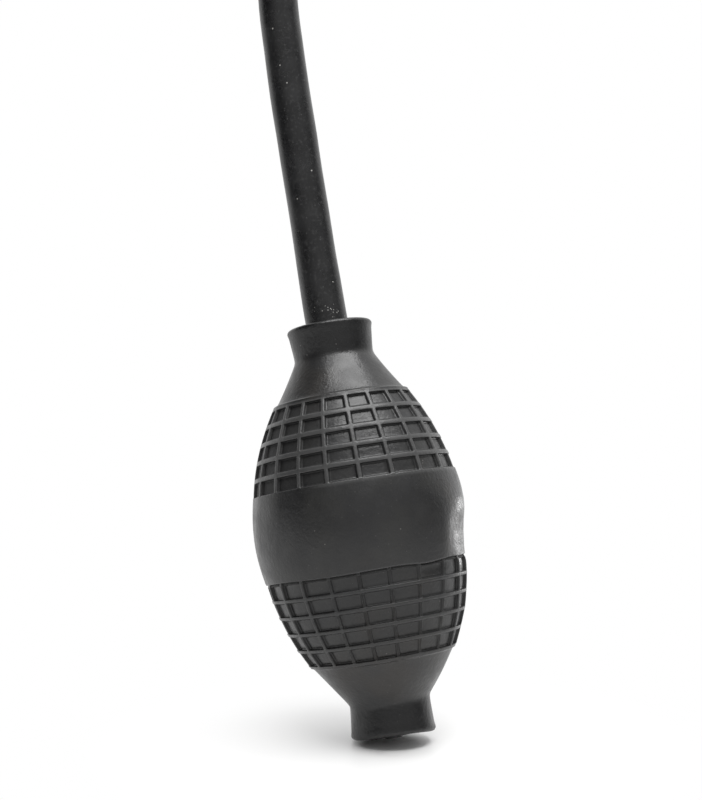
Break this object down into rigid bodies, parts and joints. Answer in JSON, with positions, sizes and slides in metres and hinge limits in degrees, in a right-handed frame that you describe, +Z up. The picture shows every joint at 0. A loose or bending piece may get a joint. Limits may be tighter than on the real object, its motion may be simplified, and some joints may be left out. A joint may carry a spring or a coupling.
{
  "type": "hand vacuum pump",
  "caption": "Squeezed rubber bulb with moulded grip grids, check valves in both necks, a hose and a coupling with a release button.",
  "frame": {"origin": "centre of the mouth of the coupling that the pump hangs from", "axes": "+Z up, out of the coupling; -Y is the front, where the thumb presses; the bulb hangs below, leaning towards -X and +Y at its top"},
  "size_m": [0.0575, 0.0538, 0.2403],
  "materials": {
    "bulb_rubber": "matte, faint sheen",
    "hose_rubber": "smooth, soft gloss",
    "valve_plastic": "moulded",
    "cap_plastic": "moulded",
    "disc_rubber": "soft silicone",
    "seal_rubber": "smooth",
    "spring_steel": "bright wire",
    "nickel": "satin nickel plate",
    "sleeve_steel": "satin",
    "coupling_plastic": "fine moulded grain",
    "filter_metal": "sintered",
    "button_plastic": "smooth"
  },
  "bodies": {
    "pump": {"bulb_shell": "bulb_rubber", "inlet_valve_body": "valve_plastic", "inlet_valve_spring": "spring_steel", "inlet_valve_cage": "valve_plastic", "exhaust_valve_body": "valve_plastic", "exhaust_valve_spring": "spring_steel", "exhaust_valve_cap": "cap_plastic", "hose": "hose_rubber", "hose_barb": "nickel", "hose_sleeve": "sleeve_steel", "coupling_body": "coupling_plastic", "coupling_seal_ring": "seal_rubber", "coupling_filter": "filter_metal", "release_spring": "spring_steel", "release_plug": "coupling_plastic"},
    "thumb_wall": {"bulb_thumb_wall": "bulb_rubber"},
    "finger_wall": {"bulb_finger_wall": "bulb_rubber"},
    "inlet_disc": {"inlet_valve_disc": "disc_rubber"},
    "exhaust_disc": {"exhaust_valve_disc": "disc_rubber"},
    "release": {"release_button": "button_plastic", "release_stem": "spring_steel", "release_washer": "seal_rubber"}
  },
  "joints": [
    {"name": "thumb_squeeze", "type": "slide", "parent": "pump", "child": "thumb_wall", "axis": [0.022, 0.9903, -0.1374], "range_m": [0, 0.01], "stiffness_N_per_m": 1200},
    {"name": "finger_squeeze", "type": "slide", "parent": "pump", "child": "finger_wall", "axis": [-0.022, -0.9903, 0.1374], "range_m": [0, 0.01], "stiffness_N_per_m": 1200},
    {"name": "inlet_valve_lift", "type": "slide", "parent": "pump", "child": "inlet_disc", "axis": [0.1566, -0.1392, -0.9778], "range_m": [0, 0.0012], "stiffness_N_per_m": 60, "springref_m": -0.0005, "deforming": ["inlet_valve_spring"]},
    {"name": "exhaust_valve_lift", "type": "slide", "parent": "pump", "child": "exhaust_disc", "axis": [0.1566, -0.1392, -0.9778], "range_m": [0, 0.0012], "stiffness_N_per_m": 60, "springref_m": -0.0005, "deforming": ["exhaust_valve_spring"]},
    {"name": "release_press", "type": "slide", "parent": "pump", "child": "release", "axis": [0, 1, 0], "range_m": [0, 0.002], "stiffness_N_per_m": 500, "springref_m": -0.001, "deforming": ["release_spring"]}
  ],
  "couplings": [
    {"joint": "finger_squeeze", "follows": "thumb_squeeze", "ratio": 1}
  ]
}
